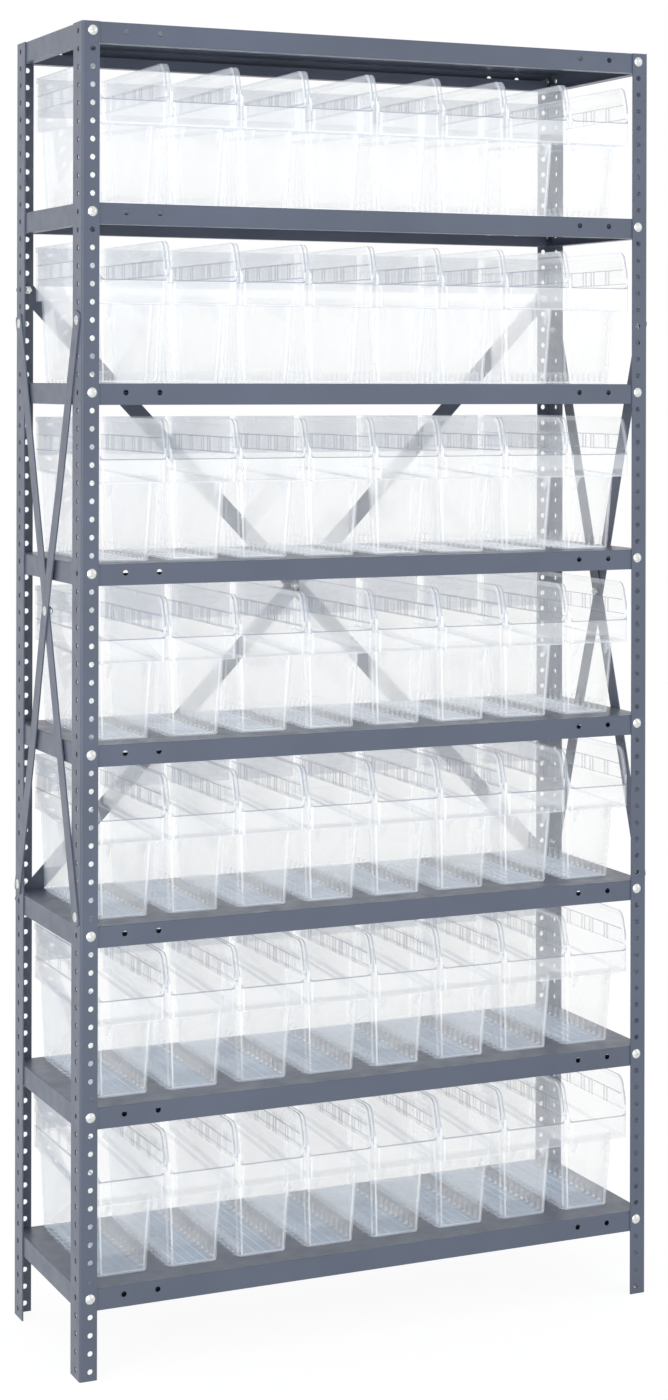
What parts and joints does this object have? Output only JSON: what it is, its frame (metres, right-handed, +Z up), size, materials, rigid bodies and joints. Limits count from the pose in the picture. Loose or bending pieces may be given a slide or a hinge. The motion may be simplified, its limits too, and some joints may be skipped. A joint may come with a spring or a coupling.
{
  "type": "shelving unit",
  "caption": "Free-standing bolted steel shelving unit with rows of clear plastic shelf bins that slide out.",
  "frame": {"origin": "middle of the footprint, on the floor", "axes": "+X to the right along the shelves, +Y to the back, +Z up"},
  "size_m": [0.9282, 0.3195, 1.905],
  "materials": {
    "grey_enamel": "semi-gloss baked enamel",
    "zinc_plate": "bright zinc plate",
    "clear_plastic": "clear moulded, slightly milky"
  },
  "bodies": {
    "frame": {"posts": "grey_enamel", "shelves": "grey_enamel", "cross_braces": "grey_enamel", "bolts_and_nuts": "zinc_plate"},
    "bin_row1_slot1": {"bin_row1_slot1": "clear_plastic"},
    "bin_row1_slot2": {"bin_row1_slot2": "clear_plastic"},
    "bin_row1_slot3": {"bin_row1_slot3": "clear_plastic"},
    "bin_row1_slot4": {"bin_row1_slot4": "clear_plastic"},
    "bin_row1_slot5": {"bin_row1_slot5": "clear_plastic"},
    "bin_row1_slot6": {"bin_row1_slot6": "clear_plastic"},
    "bin_row1_slot7": {"bin_row1_slot7": "clear_plastic"},
    "bin_row1_slot8": {"bin_row1_slot8": "clear_plastic"},
    "bin_row2_slot1": {"bin_row2_slot1": "clear_plastic"},
    "bin_row2_slot2": {"bin_row2_slot2": "clear_plastic"},
    "bin_row2_slot3": {"bin_row2_slot3": "clear_plastic"},
    "bin_row2_slot4": {"bin_row2_slot4": "clear_plastic"},
    "bin_row2_slot5": {"bin_row2_slot5": "clear_plastic"},
    "bin_row2_slot6": {"bin_row2_slot6": "clear_plastic"},
    "bin_row2_slot7": {"bin_row2_slot7": "clear_plastic"},
    "bin_row2_slot8": {"bin_row2_slot8": "clear_plastic"},
    "bin_row3_slot1": {"bin_row3_slot1": "clear_plastic"},
    "bin_row3_slot2": {"bin_row3_slot2": "clear_plastic"},
    "bin_row3_slot3": {"bin_row3_slot3": "clear_plastic"},
    "bin_row3_slot4": {"bin_row3_slot4": "clear_plastic"},
    "bin_row3_slot5": {"bin_row3_slot5": "clear_plastic"},
    "bin_row3_slot6": {"bin_row3_slot6": "clear_plastic"},
    "bin_row3_slot7": {"bin_row3_slot7": "clear_plastic"},
    "bin_row3_slot8": {"bin_row3_slot8": "clear_plastic"},
    "bin_row4_slot1": {"bin_row4_slot1": "clear_plastic"},
    "bin_row4_slot2": {"bin_row4_slot2": "clear_plastic"},
    "bin_row4_slot3": {"bin_row4_slot3": "clear_plastic"},
    "bin_row4_slot4": {"bin_row4_slot4": "clear_plastic"},
    "bin_row4_slot5": {"bin_row4_slot5": "clear_plastic"},
    "bin_row4_slot6": {"bin_row4_slot6": "clear_plastic"},
    "bin_row4_slot7": {"bin_row4_slot7": "clear_plastic"},
    "bin_row4_slot8": {"bin_row4_slot8": "clear_plastic"},
    "bin_row5_slot1": {"bin_row5_slot1": "clear_plastic"},
    "bin_row5_slot2": {"bin_row5_slot2": "clear_plastic"},
    "bin_row5_slot3": {"bin_row5_slot3": "clear_plastic"},
    "bin_row5_slot4": {"bin_row5_slot4": "clear_plastic"},
    "bin_row5_slot5": {"bin_row5_slot5": "clear_plastic"},
    "bin_row5_slot6": {"bin_row5_slot6": "clear_plastic"},
    "bin_row5_slot7": {"bin_row5_slot7": "clear_plastic"},
    "bin_row5_slot8": {"bin_row5_slot8": "clear_plastic"},
    "bin_row6_slot1": {"bin_row6_slot1": "clear_plastic"},
    "bin_row6_slot2": {"bin_row6_slot2": "clear_plastic"},
    "bin_row6_slot3": {"bin_row6_slot3": "clear_plastic"},
    "bin_row6_slot4": {"bin_row6_slot4": "clear_plastic"},
    "bin_row6_slot5": {"bin_row6_slot5": "clear_plastic"},
    "bin_row6_slot6": {"bin_row6_slot6": "clear_plastic"},
    "bin_row6_slot7": {"bin_row6_slot7": "clear_plastic"},
    "bin_row6_slot8": {"bin_row6_slot8": "clear_plastic"},
    "bin_row7_slot1": {"bin_row7_slot1": "clear_plastic"},
    "bin_row7_slot2": {"bin_row7_slot2": "clear_plastic"},
    "bin_row7_slot3": {"bin_row7_slot3": "clear_plastic"},
    "bin_row7_slot4": {"bin_row7_slot4": "clear_plastic"},
    "bin_row7_slot5": {"bin_row7_slot5": "clear_plastic"},
    "bin_row7_slot6": {"bin_row7_slot6": "clear_plastic"},
    "bin_row7_slot7": {"bin_row7_slot7": "clear_plastic"},
    "bin_row7_slot8": {"bin_row7_slot8": "clear_plastic"}
  },
  "joints": [
    {"name": "bin_row1_slot1_slide", "type": "slide", "parent": "frame", "child": "bin_row1_slot1", "axis": [0, -1, 0], "range_m": [0, 0.145]},
    {"name": "bin_row1_slot2_slide", "type": "slide", "parent": "frame", "child": "bin_row1_slot2", "axis": [0, -1, 0], "range_m": [0, 0.145]},
    {"name": "bin_row1_slot3_slide", "type": "slide", "parent": "frame", "child": "bin_row1_slot3", "axis": [0, -1, 0], "range_m": [0, 0.145]},
    {"name": "bin_row1_slot4_slide", "type": "slide", "parent": "frame", "child": "bin_row1_slot4", "axis": [0, -1, 0], "range_m": [0, 0.145]},
    {"name": "bin_row1_slot5_slide", "type": "slide", "parent": "frame", "child": "bin_row1_slot5", "axis": [0, -1, 0], "range_m": [0, 0.145]},
    {"name": "bin_row1_slot6_slide", "type": "slide", "parent": "frame", "child": "bin_row1_slot6", "axis": [0, -1, 0], "range_m": [0, 0.145]},
    {"name": "bin_row1_slot7_slide", "type": "slide", "parent": "frame", "child": "bin_row1_slot7", "axis": [0, -1, 0], "range_m": [0, 0.145]},
    {"name": "bin_row1_slot8_slide", "type": "slide", "parent": "frame", "child": "bin_row1_slot8", "axis": [0, -1, 0], "range_m": [0, 0.145]},
    {"name": "bin_row2_slot1_slide", "type": "slide", "parent": "frame", "child": "bin_row2_slot1", "axis": [0, -1, 0], "range_m": [0, 0.145]},
    {"name": "bin_row2_slot2_slide", "type": "slide", "parent": "frame", "child": "bin_row2_slot2", "axis": [0, -1, 0], "range_m": [0, 0.145]},
    {"name": "bin_row2_slot3_slide", "type": "slide", "parent": "frame", "child": "bin_row2_slot3", "axis": [0, -1, 0], "range_m": [0, 0.145]},
    {"name": "bin_row2_slot4_slide", "type": "slide", "parent": "frame", "child": "bin_row2_slot4", "axis": [0, -1, 0], "range_m": [0, 0.145]},
    {"name": "bin_row2_slot5_slide", "type": "slide", "parent": "frame", "child": "bin_row2_slot5", "axis": [0, -1, 0], "range_m": [0, 0.145]},
    {"name": "bin_row2_slot6_slide", "type": "slide", "parent": "frame", "child": "bin_row2_slot6", "axis": [0, -1, 0], "range_m": [0, 0.145]},
    {"name": "bin_row2_slot7_slide", "type": "slide", "parent": "frame", "child": "bin_row2_slot7", "axis": [0, -1, 0], "range_m": [0, 0.145]},
    {"name": "bin_row2_slot8_slide", "type": "slide", "parent": "frame", "child": "bin_row2_slot8", "axis": [0, -1, 0], "range_m": [0, 0.145]},
    {"name": "bin_row3_slot1_slide", "type": "slide", "parent": "frame", "child": "bin_row3_slot1", "axis": [0, -1, 0], "range_m": [0, 0.145]},
    {"name": "bin_row3_slot2_slide", "type": "slide", "parent": "frame", "child": "bin_row3_slot2", "axis": [0, -1, 0], "range_m": [0, 0.145]},
    {"name": "bin_row3_slot3_slide", "type": "slide", "parent": "frame", "child": "bin_row3_slot3", "axis": [0, -1, 0], "range_m": [0, 0.145]},
    {"name": "bin_row3_slot4_slide", "type": "slide", "parent": "frame", "child": "bin_row3_slot4", "axis": [0, -1, 0], "range_m": [0, 0.145]},
    {"name": "bin_row3_slot5_slide", "type": "slide", "parent": "frame", "child": "bin_row3_slot5", "axis": [0, -1, 0], "range_m": [0, 0.145]},
    {"name": "bin_row3_slot6_slide", "type": "slide", "parent": "frame", "child": "bin_row3_slot6", "axis": [0, -1, 0], "range_m": [0, 0.145]},
    {"name": "bin_row3_slot7_slide", "type": "slide", "parent": "frame", "child": "bin_row3_slot7", "axis": [0, -1, 0], "range_m": [0, 0.145]},
    {"name": "bin_row3_slot8_slide", "type": "slide", "parent": "frame", "child": "bin_row3_slot8", "axis": [0, -1, 0], "range_m": [0, 0.145]},
    {"name": "bin_row4_slot1_slide", "type": "slide", "parent": "frame", "child": "bin_row4_slot1", "axis": [0, -1, 0], "range_m": [0, 0.145]},
    {"name": "bin_row4_slot2_slide", "type": "slide", "parent": "frame", "child": "bin_row4_slot2", "axis": [0, -1, 0], "range_m": [0, 0.145]},
    {"name": "bin_row4_slot3_slide", "type": "slide", "parent": "frame", "child": "bin_row4_slot3", "axis": [0, -1, 0], "range_m": [0, 0.145]},
    {"name": "bin_row4_slot4_slide", "type": "slide", "parent": "frame", "child": "bin_row4_slot4", "axis": [0, -1, 0], "range_m": [0, 0.145]},
    {"name": "bin_row4_slot5_slide", "type": "slide", "parent": "frame", "child": "bin_row4_slot5", "axis": [0, -1, 0], "range_m": [0, 0.145]},
    {"name": "bin_row4_slot6_slide", "type": "slide", "parent": "frame", "child": "bin_row4_slot6", "axis": [0, -1, 0], "range_m": [0, 0.145]},
    {"name": "bin_row4_slot7_slide", "type": "slide", "parent": "frame", "child": "bin_row4_slot7", "axis": [0, -1, 0], "range_m": [0, 0.145]},
    {"name": "bin_row4_slot8_slide", "type": "slide", "parent": "frame", "child": "bin_row4_slot8", "axis": [0, -1, 0], "range_m": [0, 0.145]},
    {"name": "bin_row5_slot1_slide", "type": "slide", "parent": "frame", "child": "bin_row5_slot1", "axis": [0, -1, 0], "range_m": [0, 0.145]},
    {"name": "bin_row5_slot2_slide", "type": "slide", "parent": "frame", "child": "bin_row5_slot2", "axis": [0, -1, 0], "range_m": [0, 0.145]},
    {"name": "bin_row5_slot3_slide", "type": "slide", "parent": "frame", "child": "bin_row5_slot3", "axis": [0, -1, 0], "range_m": [0, 0.145]},
    {"name": "bin_row5_slot4_slide", "type": "slide", "parent": "frame", "child": "bin_row5_slot4", "axis": [0, -1, 0], "range_m": [0, 0.145]},
    {"name": "bin_row5_slot5_slide", "type": "slide", "parent": "frame", "child": "bin_row5_slot5", "axis": [0, -1, 0], "range_m": [0, 0.145]},
    {"name": "bin_row5_slot6_slide", "type": "slide", "parent": "frame", "child": "bin_row5_slot6", "axis": [0, -1, 0], "range_m": [0, 0.145]},
    {"name": "bin_row5_slot7_slide", "type": "slide", "parent": "frame", "child": "bin_row5_slot7", "axis": [0, -1, 0], "range_m": [0, 0.145]},
    {"name": "bin_row5_slot8_slide", "type": "slide", "parent": "frame", "child": "bin_row5_slot8", "axis": [0, -1, 0], "range_m": [0, 0.145]},
    {"name": "bin_row6_slot1_slide", "type": "slide", "parent": "frame", "child": "bin_row6_slot1", "axis": [0, -1, 0], "range_m": [0, 0.145]},
    {"name": "bin_row6_slot2_slide", "type": "slide", "parent": "frame", "child": "bin_row6_slot2", "axis": [0, -1, 0], "range_m": [0, 0.145]},
    {"name": "bin_row6_slot3_slide", "type": "slide", "parent": "frame", "child": "bin_row6_slot3", "axis": [0, -1, 0], "range_m": [0, 0.145]},
    {"name": "bin_row6_slot4_slide", "type": "slide", "parent": "frame", "child": "bin_row6_slot4", "axis": [0, -1, 0], "range_m": [0, 0.145]},
    {"name": "bin_row6_slot5_slide", "type": "slide", "parent": "frame", "child": "bin_row6_slot5", "axis": [0, -1, 0], "range_m": [0, 0.145]},
    {"name": "bin_row6_slot6_slide", "type": "slide", "parent": "frame", "child": "bin_row6_slot6", "axis": [0, -1, 0], "range_m": [0, 0.145]},
    {"name": "bin_row6_slot7_slide", "type": "slide", "parent": "frame", "child": "bin_row6_slot7", "axis": [0, -1, 0], "range_m": [0, 0.145]},
    {"name": "bin_row6_slot8_slide", "type": "slide", "parent": "frame", "child": "bin_row6_slot8", "axis": [0, -1, 0], "range_m": [0, 0.145]},
    {"name": "bin_row7_slot1_slide", "type": "slide", "parent": "frame", "child": "bin_row7_slot1", "axis": [0, -1, 0], "range_m": [0, 0.145]},
    {"name": "bin_row7_slot2_slide", "type": "slide", "parent": "frame", "child": "bin_row7_slot2", "axis": [0, -1, 0], "range_m": [0, 0.145]},
    {"name": "bin_row7_slot3_slide", "type": "slide", "parent": "frame", "child": "bin_row7_slot3", "axis": [0, -1, 0], "range_m": [0, 0.145]},
    {"name": "bin_row7_slot4_slide", "type": "slide", "parent": "frame", "child": "bin_row7_slot4", "axis": [0, -1, 0], "range_m": [0, 0.145]},
    {"name": "bin_row7_slot5_slide", "type": "slide", "parent": "frame", "child": "bin_row7_slot5", "axis": [0, -1, 0], "range_m": [0, 0.145]},
    {"name": "bin_row7_slot6_slide", "type": "slide", "parent": "frame", "child": "bin_row7_slot6", "axis": [0, -1, 0], "range_m": [0, 0.145]},
    {"name": "bin_row7_slot7_slide", "type": "slide", "parent": "frame", "child": "bin_row7_slot7", "axis": [0, -1, 0], "range_m": [0, 0.145]},
    {"name": "bin_row7_slot8_slide", "type": "slide", "parent": "frame", "child": "bin_row7_slot8", "axis": [0, -1, 0], "range_m": [0, 0.145]}
  ]
}
